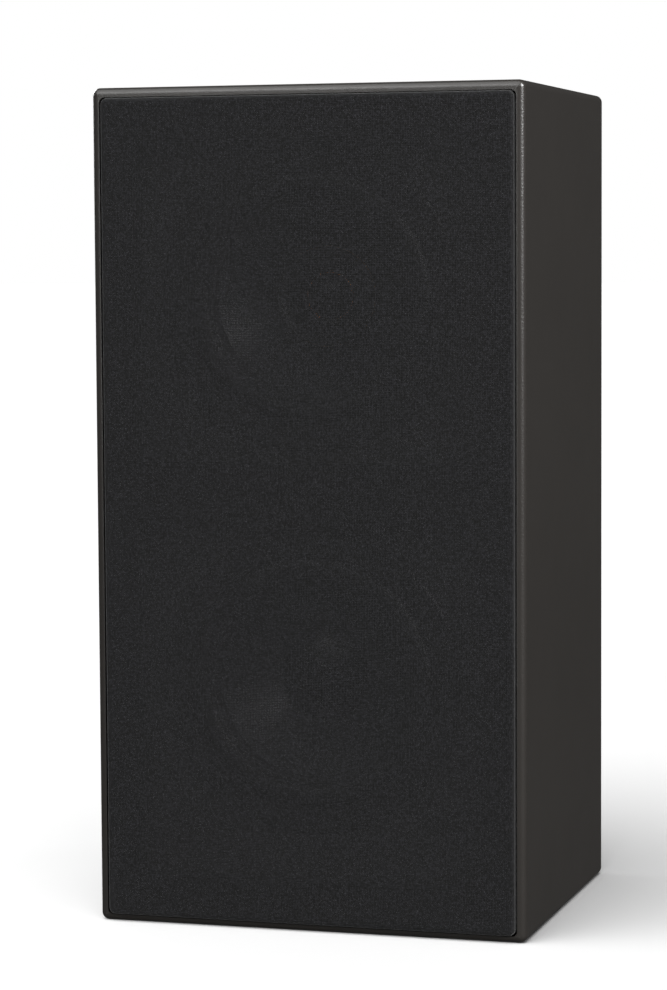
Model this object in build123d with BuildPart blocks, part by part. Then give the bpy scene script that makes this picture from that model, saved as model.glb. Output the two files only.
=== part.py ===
from build123d import *
import os

# A two-way bookshelf loudspeaker with a magnetic cloth grille. The front faces -Y, +X is to the right
# seen from the front, +Z is up, and the origin is at the middle of the base of the whole object.
# All sizes are in millimetres.

# Cabinet
CABINET_W = 240.0
CABINET_H = 455.0
CABINET_D = 200.0
WALL = 15.0
EDGE_R = 4.0
BAFFLE_T = 18.0
REAR_PANEL_T = 15.0
REAR_INSET = 3.5
BRACE_T = 12.0

# Grille and the rebate that it sits in
GRILLE_PROUD = 2.6
REBATE_D = 9.4
LIP_SIDE = 4.6
LIP_TOP = 5.2
LIP_BOTTOM = 3.6
LIP_CORNER_R = 3.0
GRILLE_GAP_SIDE = 1.0
GRILLE_GAP_END = 0.6
GRILLE_CORNER_R = 2.6
GRILLE_BACK_GAP = 0.3
CLOTH_T = 0.8
FRAME_BAR = 18.0
FRAME_END_BAR = 22.0
FRAME_CROSS_BAR = 30.0
WINDOW_R = 3.0
FRAME_EDGE_R = 1.4
MAGNET_R = 4.0
MAGNET_T = 3.2
MAGNET_X = 99.5

# Drive units: both share one basket size
WOOFER_Z = 135.0
COAX_Z = 342.0
FLANGE_R = 83.0
FLANGE_T = 4.0
GASKET_T = 0.5
TRIM_T = 1.8
TRIM_INNER_R = 68.5
CUTOUT_R = 72.0
SCREW_CIRCLE_R = 78.0
SCREW_R = 1.9
ROLL_R = 62.0
ROLL_HALF_W = 6.0
SKIN_T = 0.8
CONE_R = 56.0
CONE_FACE_R = 52.0
CONE_EDGE_D = 1.9
CONE_NECK_D = 33.0
SPIDER_D = 37.2
SPIDER_R = 49.5
PLATE_FRONT_D = 51.0
PLATE_T = 6.0
PLATE_R = 46.0
MAGNET_RING_R = 50.0
MAGNET_RING_T = 15.0
WINDING_H = 12.0
WOOFER_COIL_R = 19.0
COAX_COIL_R = 27.0
DUST_CAP_R = 24.0
DUST_CAP_SEAT_D = 26.6
DUST_CAP_RISE = 7.0
DUST_CAP_T = 0.6

# Tweeter in the middle of the upper driver
HORN_R = 26.2
HORN_FRONT_D = 26.0
HORN_BACK_D = 39.4
HORN_THROAT_R = 17.2
DOME_R = 12.7
DOME_RISE = 5.2
DOME_T = 0.4
TWEETER_CUP_D = 40.0

# Rear: reflex port, terminal cup and binding posts
PORT_Z = 352.0
PORT_R = 23.0
PORT_WALL = 2.2
PORT_LENGTH = 76.0
PORT_FLANGE_R = 34.0
PORT_FLARE_R = 5.0
REAR_FLANGE_T = 2.5
CUP_Z = 120.0
CUP_W = 93.0
CUP_H = 63.0
CUP_WALL = 2.5
CUP_FLOOR_T = 3.0
CUP_RECESS = 25.5
CUP_FLANGE_W = 110.0
CUP_FLANGE_H = 80.0
CUP_GASKET_T = 0.8
CUP_SCREW_X = 50.5
CUP_SCREW_DZ = 35.5
CUP_SCREW_R = 1.6
POST_X = 19.0
STUD_R = 3.0
BANANA_R = 2.0
BANANA_DEPTH = 18.0
NUT_R = 8.0
NUT_LENGTH = 16.5
NUT_FIT = 0.05
WASHER_T = 1.5
COLLAR_T = 1.5
STUD_TAIL = 10.5

# Crossover on the bottom panel
BOARD_W = 110.0
BOARD_L = 100.0
BOARD_T = 1.6
BOARD_Y = 15.0
SPACER_H = 6.0
WIRE_R = 1.1
WIRE_BEND_R = 7.0
TAB_X = 6.0
TAB_DROP = 67.8

# Places worked out from the sizes above
REAR = (CABINET_D + GRILLE_PROUD) / 2
FRONT = REAR - CABINET_D
GRILLE_FRONT = FRONT - GRILLE_PROUD
BAFFLE_FRONT = FRONT + REBATE_D
BAFFLE_BACK = BAFFLE_FRONT + BAFFLE_T
REAR_FACE = REAR - REAR_INSET
REAR_INNER = REAR_FACE - REAR_PANEL_T
INNER_X = CABINET_W / 2 - WALL
INNER_TOP = CABINET_H - WALL
BRACE_Z = (WOOFER_Z + COAX_Z) / 2
GRILLE_X = CABINET_W / 2 - LIP_SIDE - GRILLE_GAP_SIDE
GRILLE_BOTTOM = LIP_BOTTOM + GRILLE_GAP_END
GRILLE_TOP = CABINET_H - LIP_TOP - GRILLE_GAP_END
GRILLE_MID = (GRILLE_BOTTOM + GRILLE_TOP) / 2
FRAME_FRONT = GRILLE_FRONT + CLOTH_T
FRAME_BACK = BAFFLE_FRONT - GRILLE_BACK_GAP
MAGNET_ROWS = (22.0, BRACE_Z, 433.0)
CUP_REAR = REAR_FACE + CUP_GASKET_T + REAR_FLANGE_T
CUP_FLOOR = CUP_REAR - CUP_RECESS
CUP_BACK = CUP_FLOOR - CUP_FLOOR_T
BOARD_Z = WALL + SPACER_H
BOARD_TOP = BOARD_Z + BOARD_T

os.makedirs("parts", exist_ok=True)


def save(piece, name):
    """Labels a finished piece and writes its STEP file."""
    piece.part.label = name
    export_step(piece.part, f"parts/{name}.step")


def upright(y, x=0.0, z=0.0):
    """A sketch plane that faces the front: x to the right, y up, extruding towards the front."""
    return Plane(origin=(x, y, z), x_dir=(1, 0, 0), z_dir=(0, -1, 0))


def magnet_spots():
    """The places of the grille magnets, as (x, z)."""
    return [(side * MAGNET_X, z) for z in MAGNET_ROWS for side in (-1, 1)]


# ---------------------------------------------------------------- cabinet


def make_wrap():
    """The four walls as one ring with rounded edges and the front rebate, before the mitres."""
    with BuildPart() as wrap:
        with BuildSketch(upright(REAR, z=CABINET_H / 2)):
            Rectangle(CABINET_W, CABINET_H)
        extrude(amount=CABINET_D)
        fillet(wrap.edges(), radius=EDGE_R)
        with BuildSketch(upright(REAR, z=CABINET_H / 2)):
            Rectangle(2 * INNER_X, CABINET_H - 2 * WALL)
        extrude(amount=CABINET_D, mode=Mode.SUBTRACT)
        with BuildSketch(upright(BAFFLE_FRONT, z=(CABINET_H + LIP_BOTTOM - LIP_TOP) / 2)):
            RectangleRounded(CABINET_W - 2 * LIP_SIDE, CABINET_H - LIP_TOP - LIP_BOTTOM, LIP_CORNER_R)
        extrude(amount=REBATE_D, mode=Mode.SUBTRACT)
    return wrap.part


def make_panel(wrap, name, outline, pilot_holes=()):
    """One mitred panel of the wrap, cut out by its outline seen from the front."""
    with BuildPart() as panel:
        add(wrap)
        with BuildSketch(upright(REAR)):
            with BuildLine():
                Polyline(*outline, close=True)
            make_face()
        extrude(amount=CABINET_D, mode=Mode.INTERSECT)
        if pilot_holes:
            with BuildSketch(Plane.XY.offset(WALL)):
                with Locations(*pilot_holes):
                    Circle(1.5)
            extrude(amount=-8.0, mode=Mode.SUBTRACT)
    save(panel, name)


def make_cabinet_walls():
    wrap = make_wrap()
    beyond = 5.0
    far_x = CABINET_W / 2 + beyond
    below = -beyond
    above = CABINET_H + beyond
    make_panel(
        wrap,
        "side_panel_left",
        [(-far_x, below), (-INNER_X, WALL), (-INNER_X, INNER_TOP), (-far_x, above)],
    )
    make_panel(
        wrap,
        "side_panel_right",
        [(far_x, below), (INNER_X, WALL), (INNER_X, INNER_TOP), (far_x, above)],
    )
    make_panel(
        wrap,
        "top_panel",
        [(-far_x, above), (-INNER_X, INNER_TOP), (INNER_X, INNER_TOP), (far_x, above)],
    )
    make_panel(
        wrap,
        "bottom_panel",
        [(-far_x, below), (-INNER_X, WALL), (INNER_X, WALL), (far_x, below)],
        pilot_holes=board_corners(),
    )


def make_front_baffle():
    """The board that carries the drivers, with flange rebates, cut-outs, pilot and magnet holes."""
    with BuildPart() as baffle:
        with BuildSketch(upright(BAFFLE_BACK, z=CABINET_H / 2)):
            Rectangle(2 * INNER_X, CABINET_H - 2 * WALL)
        extrude(amount=BAFFLE_T)
        for centre_z in (WOOFER_Z, COAX_Z):
            with BuildSketch(upright(BAFFLE_FRONT, z=centre_z)):
                Circle(FLANGE_R + 0.4)
            extrude(amount=-(FLANGE_T + GASKET_T), mode=Mode.SUBTRACT)
            with BuildSketch(upright(BAFFLE_FRONT, z=centre_z)):
                Circle(CUTOUT_R)
                with PolarLocations(SCREW_CIRCLE_R, 4, start_angle=45):
                    Circle(SCREW_R)
            extrude(amount=-BAFFLE_T, mode=Mode.SUBTRACT)
        with BuildSketch(upright(BAFFLE_FRONT)):
            with Locations(*magnet_spots()):
                Circle(MAGNET_R)
        extrude(amount=-MAGNET_T, mode=Mode.SUBTRACT)
    save(baffle, "front_baffle")


def make_rear_panel():
    with BuildPart() as panel:
        with BuildSketch(upright(REAR_FACE, z=CABINET_H / 2)):
            Rectangle(2 * INNER_X, CABINET_H - 2 * WALL)
        extrude(amount=REAR_PANEL_T)
        with BuildSketch(upright(REAR_FACE)):
            with Locations((0, PORT_Z)):
                Circle(PORT_R + PORT_WALL + 0.3)
            with Locations((0, CUP_Z)):
                Rectangle(CUP_W + 1.0, CUP_H + 1.0)
            with Locations(*cup_screw_spots()):
                Circle(CUP_SCREW_R)
        extrude(amount=REAR_PANEL_T, mode=Mode.SUBTRACT)
    save(panel, "rear_panel")


def make_window_brace():
    """A shelf between the drivers with a large window, which ties the four walls together."""
    with BuildPart() as brace:
        with BuildSketch(Plane.XY.offset(BRACE_Z - BRACE_T / 2)):
            with Locations((0, (BAFFLE_BACK + REAR_INNER) / 2)):
                Rectangle(2 * INNER_X, REAR_INNER - BAFFLE_BACK)
                RectangleRounded(150.0, 104.0, 15.0, mode=Mode.SUBTRACT)
        extrude(amount=BRACE_T)
    save(brace, "window_brace")


def make_wadding():
    """Polyester lining pads: two on each side wall and one under the top."""
    pad_t = 12.0
    length = 130.0
    middle_y = 12.0
    with BuildPart() as wadding:
        for side in (-1, 1):
            for low, high in ((62.0, 222.0), (256.0, 420.0)):
                with Locations((side * (INNER_X - pad_t / 2), middle_y, (low + high) / 2)):
                    Box(pad_t, length, high - low)
        with Locations((0, middle_y, INNER_TOP - pad_t / 2)):
            Box(180.0, length, pad_t)
    save(wadding, "damping_wadding")


# ---------------------------------------------------------------- grille


def make_grille():
    inner_half = GRILLE_X - CLOTH_T - FRAME_BAR
    low = GRILLE_BOTTOM + CLOTH_T + FRAME_END_BAR
    high = GRILLE_TOP - CLOTH_T - FRAME_END_BAR
    windows = [(low, BRACE_Z - FRAME_CROSS_BAR / 2), (BRACE_Z + FRAME_CROSS_BAR / 2, high)]
    frame_h = GRILLE_TOP - GRILLE_BOTTOM - 2 * CLOTH_T
    with BuildPart() as frame:
        with BuildSketch(upright(FRAME_BACK, z=GRILLE_MID)):
            RectangleRounded(2 * (GRILLE_X - CLOTH_T), frame_h, GRILLE_CORNER_R - CLOTH_T)
        extrude(amount=FRAME_BACK - FRAME_FRONT)
        fillet(frame.edges().group_by(Axis.Y)[0], radius=FRAME_EDGE_R)
        with BuildSketch(upright(FRAME_BACK)):
            for bottom, top in windows:
                with Locations((0, (bottom + top) / 2)):
                    RectangleRounded(2 * inner_half, top - bottom, WINDOW_R)
        extrude(amount=FRAME_BACK - FRAME_FRONT, mode=Mode.SUBTRACT)
        with BuildSketch(upright(FRAME_BACK)):
            with Locations(*magnet_spots()):
                Circle(MAGNET_R)
        extrude(amount=MAGNET_T, mode=Mode.SUBTRACT)
    save(frame, "grille_frame")

    with BuildPart() as cloth:
        with BuildSketch(upright(FRAME_FRONT, z=GRILLE_MID)):
            RectangleRounded(2 * GRILLE_X, GRILLE_TOP - GRILLE_BOTTOM, GRILLE_CORNER_R)
        extrude(amount=CLOTH_T)
    save(cloth, "grille_cloth")


def make_magnets(name, back_y):
    """Six disc magnets whose rear faces lie at back_y."""
    with BuildPart() as magnets:
        with BuildSketch(upright(back_y)):
            with Locations(*magnet_spots()):
                Circle(MAGNET_R)
        extrude(amount=MAGNET_T)
    save(magnets, name)


# ---------------------------------------------------------------- drive units


def driver_section(centre_z):
    """A half-section plane through a driver: x is the radius, y the depth behind the baffle's face."""
    return Plane(origin=(0, BAFFLE_FRONT, centre_z))


def driver_axis(centre_z):
    return Axis((0, BAFFLE_FRONT, centre_z), (0, 1, 0))


def driver_face(centre_z, depth):
    return upright(BAFFLE_FRONT + depth, z=centre_z)


def make_turned(name, centre_z, outline):
    """A ring or disc turned about the driver's axis from (radius, depth) points."""
    with BuildPart() as piece:
        with BuildSketch(driver_section(centre_z)):
            with BuildLine():
                Polyline(*outline, close=True)
            make_face()
        revolve(axis=driver_axis(centre_z))
    save(piece, name)


def make_basket(driver, centre_z):
    """Die-cast basket: flange with a step for the surround, six spokes, spider ledge and mounting ring."""
    bowl_d = 14.0
    bowl_outer_r = 70.3
    bowl_inner_r = 67.3
    ledge_d = SPIDER_D + SKIN_T
    hub_r = 34.0
    hub_d = 47.5
    step_r = 72.0
    step_d = 1.0
    spoke_start_r = 50.0
    with BuildPart() as basket:
        with BuildSketch(driver_section(centre_z)):
            with BuildLine():
                Polyline(
                    (FLANGE_R, 0),
                    (FLANGE_R, FLANGE_T),
                    (CUTOUT_R - 0.5, FLANGE_T),
                    (bowl_outer_r, bowl_d),
                    (SPIDER_R + 3.5, ledge_d + 1.0),
                    (PLATE_R, ledge_d + 7.0),
                    (PLATE_R, PLATE_FRONT_D),
                    (hub_r, PLATE_FRONT_D),
                    (hub_r, hub_d),
                    (PLATE_R - 3.0, hub_d),
                    (SPIDER_R - 4.5, ledge_d),
                    (SPIDER_R + 0.5, ledge_d),
                    (bowl_inner_r, bowl_d),
                    (bowl_inner_r, step_d),
                    (step_r, step_d),
                    (step_r, 0),
                    close=True,
                )
            make_face()
        revolve(axis=driver_axis(centre_z))
        with BuildSketch(driver_face(centre_z, 15.0)):
            with PolarLocations(0, 6):
                with BuildLine():
                    Polyline(
                        (spoke_start_r, -17),
                        (step_r, -28),
                        (step_r, 28),
                        (spoke_start_r, 17),
                        close=True,
                    )
                make_face()
        extrude(amount=-20.0, mode=Mode.SUBTRACT)
        with BuildSketch(driver_face(centre_z, 0)):
            with PolarLocations(SCREW_CIRCLE_R, 4, start_angle=45):
                Circle(SCREW_R + 0.2)
        extrude(amount=-FLANGE_T, mode=Mode.SUBTRACT)
    save(basket, f"{driver}_basket")


def make_trim_ring(driver, centre_z):
    """The moulded ring over the flange, with a rounded front and clearance for the screw heads."""
    with BuildPart() as ring:
        with BuildSketch(driver_section(centre_z)):
            with BuildLine():
                Polyline(
                    (FLANGE_R, 0),
                    (TRIM_INNER_R, 0),
                    (TRIM_INNER_R + 0.6, -TRIM_T),
                    (FLANGE_R - 1.2, -TRIM_T),
                    (FLANGE_R, -0.8),
                    close=True,
                )
            make_face()
        revolve(axis=driver_axis(centre_z))
        with BuildSketch(driver_face(centre_z, 0)):
            with PolarLocations(SCREW_CIRCLE_R, 4, start_angle=45):
                Circle(4.2)
        extrude(amount=TRIM_T + 1, mode=Mode.SUBTRACT)
    save(ring, f"{driver}_trim_ring")


def make_surround(driver, centre_z):
    """Half-roll rubber surround with a foot under the trim ring and one glued to the cone's edge."""
    inner_roll = ROLL_HALF_W - SKIN_T
    base = 1.0
    foot_out = ROLL_R + ROLL_HALF_W + 3.7
    foot_in = ROLL_R - ROLL_HALF_W - 3.5
    with BuildPart() as surround:
        with BuildSketch(driver_section(centre_z)):
            with BuildLine():
                Polyline(
                    (ROLL_R + inner_roll, base),
                    (foot_out, base),
                    (foot_out, base - SKIN_T),
                    (ROLL_R + ROLL_HALF_W, base - SKIN_T),
                )
                ThreePointArc(
                    (ROLL_R + ROLL_HALF_W, base - SKIN_T),
                    (ROLL_R, base - ROLL_HALF_W),
                    (ROLL_R - ROLL_HALF_W, base - SKIN_T),
                )
                Polyline(
                    (ROLL_R - ROLL_HALF_W, base - SKIN_T),
                    (foot_in, base),
                    (foot_in, base + SKIN_T),
                    (ROLL_R - inner_roll, base + SKIN_T),
                    (ROLL_R - inner_roll, base),
                )
                ThreePointArc(
                    (ROLL_R - inner_roll, base),
                    (ROLL_R, base - inner_roll),
                    (ROLL_R + inner_roll, base),
                )
            make_face()
        revolve(axis=driver_axis(centre_z))
    save(surround, f"{driver}_surround")


def make_cone(driver, centre_z, coil_r):
    """Flared cone: a flat glue edge, then a wall that grows steeper towards the voice coil."""
    neck_r = coil_r + 0.5
    neck_wall = 0.9
    neck_end = CONE_NECK_D + 1.4
    middle_r = (CONE_FACE_R + neck_r) / 2 - 2.4
    middle_d = (CONE_EDGE_D + CONE_NECK_D) / 2
    wall = 1.1
    with BuildPart() as cone:
        with BuildSketch(driver_section(centre_z)):
            with BuildLine():
                Line((CONE_R, CONE_EDGE_D), (CONE_FACE_R, CONE_EDGE_D))
                ThreePointArc(
                    (CONE_FACE_R, CONE_EDGE_D), (middle_r, middle_d), (neck_r, CONE_NECK_D)
                )
                Polyline((neck_r, CONE_NECK_D), (neck_r, neck_end), (neck_r + neck_wall, neck_end))
                ThreePointArc(
                    (neck_r + neck_wall, neck_end),
                    (middle_r + wall * 0.8, middle_d + wall * 0.8),
                    (CONE_FACE_R, CONE_EDGE_D + wall),
                )
                Polyline(
                    (CONE_FACE_R, CONE_EDGE_D + wall),
                    (CONE_R, CONE_EDGE_D + SKIN_T),
                    (CONE_R, CONE_EDGE_D),
                )
            make_face()
        revolve(axis=driver_axis(centre_z))
    save(cone, f"{driver}_cone")


def make_spider(driver, centre_z, coil_r):
    """Corrugated suspension disc between the basket ledge and the voice coil former."""
    inner_r = coil_r + 0.5
    waves = 5
    pitch = (SPIDER_R - 5.0 - inner_r - 2.0) / waves
    front = [(inner_r, SPIDER_D)]
    for k in range(waves):
        start = inner_r + 2.0 + k * pitch
        front += [(start, SPIDER_D), (start + pitch / 2, SPIDER_D - 1.6)]
    front += [(SPIDER_R - 5.0, SPIDER_D), (SPIDER_R, SPIDER_D)]
    back = [(r, d + SKIN_T) for r, d in reversed(front)]
    make_turned(f"{driver}_spider", centre_z, front + back)


def make_coil(driver, centre_z, coil_r):
    """Voice coil: a thin former and the copper winding round its lower end."""
    former_t = 0.4
    winding_t = 1.0
    winding_d = PLATE_FRONT_D + PLATE_T / 2 - WINDING_H / 2
    outer_r = coil_r + former_t
    top, bottom = CONE_NECK_D - 0.5, winding_d + WINDING_H + 1.0
    make_turned(
        f"{driver}_coil_former",
        centre_z,
        [(coil_r, top), (outer_r, top), (outer_r, bottom), (coil_r, bottom)],
    )
    make_turned(
        f"{driver}_coil_winding",
        centre_z,
        [
            (outer_r, winding_d),
            (outer_r + winding_t, winding_d),
            (outer_r + winding_t, winding_d + WINDING_H),
            (outer_r, winding_d + WINDING_H),
        ],
    )


def make_motor(driver, centre_z, coil_r, vent_r):
    """Top plate, ring magnet, and yoke with its centre pole."""
    magnet_front = PLATE_FRONT_D + PLATE_T
    yoke_front = magnet_front + MAGNET_RING_T
    pole_r = coil_r - 0.6
    pole_top = PLATE_FRONT_D - 0.5
    make_turned(
        f"{driver}_top_plate",
        centre_z,
        [
            (coil_r + 1.9, PLATE_FRONT_D),
            (PLATE_R, PLATE_FRONT_D),
            (PLATE_R, magnet_front),
            (coil_r + 1.9, magnet_front),
        ],
    )
    make_turned(
        f"{driver}_magnet",
        centre_z,
        [
            (coil_r + 5, magnet_front),
            (MAGNET_RING_R, magnet_front),
            (MAGNET_RING_R, yoke_front),
            (coil_r + 5, yoke_front),
        ],
    )
    make_turned(
        f"{driver}_yoke",
        centre_z,
        [
            (vent_r, pole_top),
            (pole_r, pole_top),
            (pole_r, yoke_front),
            (PLATE_R, yoke_front),
            (PLATE_R, yoke_front + PLATE_T),
            (vent_r, yoke_front + PLATE_T),
        ],
    )


def make_driver(driver, centre_z, coil_r, vent_r):
    make_basket(driver, centre_z)
    make_trim_ring(driver, centre_z)
    make_surround(driver, centre_z)
    make_cone(driver, centre_z, coil_r)
    make_spider(driver, centre_z, coil_r)
    make_coil(driver, centre_z, coil_r)
    make_motor(driver, centre_z, coil_r, vent_r)


def make_dome(name, centre_z, base_r, base_d, rise, wall):
    """A thin spherical cap that bulges towards the front from its base ring."""
    sphere_r = (base_r**2 + rise**2) / (2 * rise)
    half_sag = sphere_r - (sphere_r**2 - base_r**2 / 4) ** 0.5
    apex = base_d - rise
    with BuildPart() as dome:
        with BuildSketch(driver_section(centre_z)):
            with BuildLine():
                ThreePointArc((0, apex), (base_r / 2, apex + half_sag), (base_r, base_d))
                Line((base_r, base_d), (base_r, base_d + wall))
                ThreePointArc(
                    (base_r, base_d + wall),
                    (base_r / 2, apex + half_sag + wall),
                    (0, apex + wall),
                )
                Line((0, apex + wall), (0, apex))
            make_face()
        revolve(axis=driver_axis(centre_z))
    save(dome, name)


def make_driver_fixings():
    """Gaskets, screws and terminal strips, alike on both drivers."""
    with BuildPart() as gaskets:
        for centre_z in (WOOFER_Z, COAX_Z):
            with BuildSketch(driver_face(centre_z, FLANGE_T + GASKET_T)):
                Circle(FLANGE_R - 0.5)
                Circle(CUTOUT_R + 1.0, mode=Mode.SUBTRACT)
                with PolarLocations(SCREW_CIRCLE_R, 4, start_angle=45):
                    Circle(SCREW_R + 0.2, mode=Mode.SUBTRACT)
            extrude(amount=GASKET_T)
    save(gaskets, "driver_gaskets")

    head_r, head_h, key_af, shank = 3.8, 2.4, 2.9, 20.0
    with BuildPart() as screws:
        for centre_z in (WOOFER_Z, COAX_Z):
            with BuildSketch(driver_face(centre_z, 0)):
                with PolarLocations(SCREW_CIRCLE_R, 4, start_angle=45):
                    Circle(head_r)
            extrude(amount=head_h)
        fillet(screws.edges().group_by(Axis.Y)[0], radius=0.9)
        for centre_z in (WOOFER_Z, COAX_Z):
            with BuildSketch(driver_face(centre_z, 0)):
                with PolarLocations(SCREW_CIRCLE_R, 4, start_angle=45):
                    Circle(SCREW_R)
            extrude(amount=-shank)
            with BuildSketch(driver_face(centre_z, -head_h)):
                with PolarLocations(SCREW_CIRCLE_R, 4, start_angle=45):
                    RegularPolygon(key_af / 2, 6, major_radius=False)
            extrude(amount=-1.6, mode=Mode.SUBTRACT)
    save(screws, "driver_screws")

    with BuildPart() as strips:
        for centre_z in (WOOFER_Z, COAX_Z):
            with BuildSketch(Plane.XY.offset(centre_z - 68.6)):
                with Locations((0, BAFFLE_FRONT + 26)):
                    Rectangle(22.0, 12.0)
                with Locations((-TAB_X, BAFFLE_FRONT + 35.5), (TAB_X, BAFFLE_FRONT + 35.5)):
                    Rectangle(4.8, 9.0)
            extrude(amount=1.6)
    save(strips, "driver_terminals")


# ---------------------------------------------------------------- tweeter


def make_tweeter():
    with BuildPart() as horn:
        with BuildSketch(driver_section(COAX_Z)):
            with BuildLine():
                ThreePointArc(
                    (HORN_R - 0.8, HORN_FRONT_D), (20.2, 31.6), (HORN_THROAT_R, HORN_BACK_D - 1.0)
                )
                Polyline(
                    (HORN_THROAT_R, HORN_BACK_D - 1.0),
                    (HORN_THROAT_R, HORN_BACK_D),
                    (HORN_R, HORN_BACK_D),
                    (HORN_R, HORN_FRONT_D),
                    (HORN_R - 0.8, HORN_FRONT_D),
                )
            make_face()
        revolve(axis=driver_axis(COAX_Z))
    save(horn, "tweeter_horn_ring")

    base = HORN_BACK_D - 1.0
    make_dome("tweeter_dome", COAX_Z, DOME_R, base, DOME_RISE, DOME_T)

    foot_in, foot_out, crown = 13.3, 24.0, 15.2
    make_turned(
        "tweeter_dome_surround",
        COAX_Z,
        [
            (foot_in, HORN_BACK_D - 0.6),
            (crown, HORN_BACK_D - 1.6),
            (16.9, HORN_BACK_D),
            (foot_out, HORN_BACK_D),
            (foot_out, TWEETER_CUP_D),
            (16.6, TWEETER_CUP_D),
            (crown, HORN_BACK_D - 1.0),
            (foot_in, HORN_BACK_D),
        ],
    )
    make_turned(
        "tweeter_coil",
        COAX_Z,
        [(DOME_R, base), (DOME_R + 0.4, base), (DOME_R + 0.4, base + 6.2), (DOME_R, base + 6.2)],
    )
    floor = PLATE_FRONT_D - 0.5
    make_turned(
        "tweeter_cup",
        COAX_Z,
        [
            (14.6, TWEETER_CUP_D),
            (24, TWEETER_CUP_D),
            (24, TWEETER_CUP_D + 2.5),
            (18, TWEETER_CUP_D + 2.5),
            (18, floor),
            (0, floor),
            (0, floor - 3),
            (14.6, floor - 3),
        ],
    )
    make_turned(
        "tweeter_magnet",
        COAX_Z,
        [(0, TWEETER_CUP_D + 0.6), (12.1, TWEETER_CUP_D + 0.6), (12.1, floor - 3), (0, floor - 3)],
    )


# ---------------------------------------------------------------- rear fittings


def cup_screw_spots():
    """The four screws of the terminal cup, as (x, z)."""
    return [(sx * CUP_SCREW_X, CUP_Z + sz * CUP_SCREW_DZ) for sx in (-1, 1) for sz in (-1, 1)]


def make_port():
    outer_r = PORT_R + PORT_WALL
    end = REAR_FACE + REAR_FLANGE_T
    inner_end = end - PORT_LENGTH
    flare = PORT_FLARE_R
    with BuildPart() as port:
        with BuildSketch(Plane.XY.offset(PORT_Z)):
            with BuildLine():
                Line((PORT_R, inner_end), (PORT_R, end - flare))
                ThreePointArc(
                    (PORT_R, end - flare),
                    (PORT_R + flare * 0.2929, end - flare * 0.2929),
                    (PORT_R + flare, end),
                )
                Polyline(
                    (PORT_R + flare, end),
                    (PORT_FLANGE_R - 0.8, end),
                    (PORT_FLANGE_R, end - 0.8),
                    (PORT_FLANGE_R, REAR_FACE),
                    (outer_r, REAR_FACE),
                    (outer_r, inner_end),
                    (PORT_R, inner_end),
                )
            make_face()
        revolve(axis=Axis((0, 0, PORT_Z), (0, 1, 0)))
    save(port, "port_tube")


def make_terminal_cup():
    screw_hole_r = CUP_SCREW_R + 0.1
    with BuildPart() as cup:
        with BuildSketch(upright(CUP_REAR, z=CUP_Z)):
            RectangleRounded(CUP_FLANGE_W, CUP_FLANGE_H, 6.0)
        extrude(amount=REAR_FLANGE_T)
        fillet(cup.edges().group_by(Axis.Y)[-1], radius=0.8)
        with BuildSketch(upright(CUP_BACK, z=CUP_Z)):
            RectangleRounded(CUP_W, CUP_H, 6.0)
        extrude(amount=-(CUP_REAR - REAR_FLANGE_T - CUP_BACK))
        with BuildSketch(upright(CUP_FLOOR, z=CUP_Z)):
            RectangleRounded(CUP_W - 2 * CUP_WALL, CUP_H - 2 * CUP_WALL, 3.5)
        extrude(amount=-CUP_RECESS, mode=Mode.SUBTRACT)
        with BuildSketch(upright(CUP_BACK, z=CUP_Z)):
            with Locations((-POST_X, 0), (POST_X, 0)):
                Circle(STUD_R)
        extrude(amount=-CUP_FLOOR_T, mode=Mode.SUBTRACT)
        for x, z in cup_screw_spots():
            with Locations(Plane(origin=(x, CUP_REAR, z), z_dir=(0, 1, 0))):
                CounterSinkHole(screw_hole_r, 2 * screw_hole_r, REAR_FLANGE_T, 90)
    save(cup, "terminal_cup")

    with BuildPart() as gasket:
        with BuildSketch(upright(REAR_FACE + CUP_GASKET_T, z=CUP_Z)):
            RectangleRounded(CUP_FLANGE_W - 1, CUP_FLANGE_H - 1, 5.5)
            RectangleRounded(CUP_W + 1.0, CUP_H + 1.0, 6.0, mode=Mode.SUBTRACT)
            with Locations(*[(x, z - CUP_Z) for x, z in cup_screw_spots()]):
                Circle(CUP_SCREW_R + 0.1, mode=Mode.SUBTRACT)
        extrude(amount=CUP_GASKET_T)
    save(gasket, "cup_gasket")

    with BuildPart() as screws:
        for x, z in cup_screw_spots():
            with BuildSketch(Plane(origin=(x, 0, z))):
                with BuildLine():
                    Polyline(
                        (0, CUP_REAR),
                        (CUP_SCREW_R * 2, CUP_REAR),
                        (CUP_SCREW_R, CUP_REAR - CUP_SCREW_R),
                        (CUP_SCREW_R, REAR_FACE - 12),
                        (0, REAR_FACE - 13.5),
                        close=True,
                    )
                make_face()
            revolve(axis=Axis((x, 0, z), (0, 1, 0)))
        with BuildSketch(upright(CUP_REAR)):
            with Locations(*cup_screw_spots()):
                Rectangle(3.4, 0.7)
                Rectangle(0.7, 3.4)
        extrude(amount=1.2, mode=Mode.SUBTRACT)
    save(screws, "cup_screws")


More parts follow.
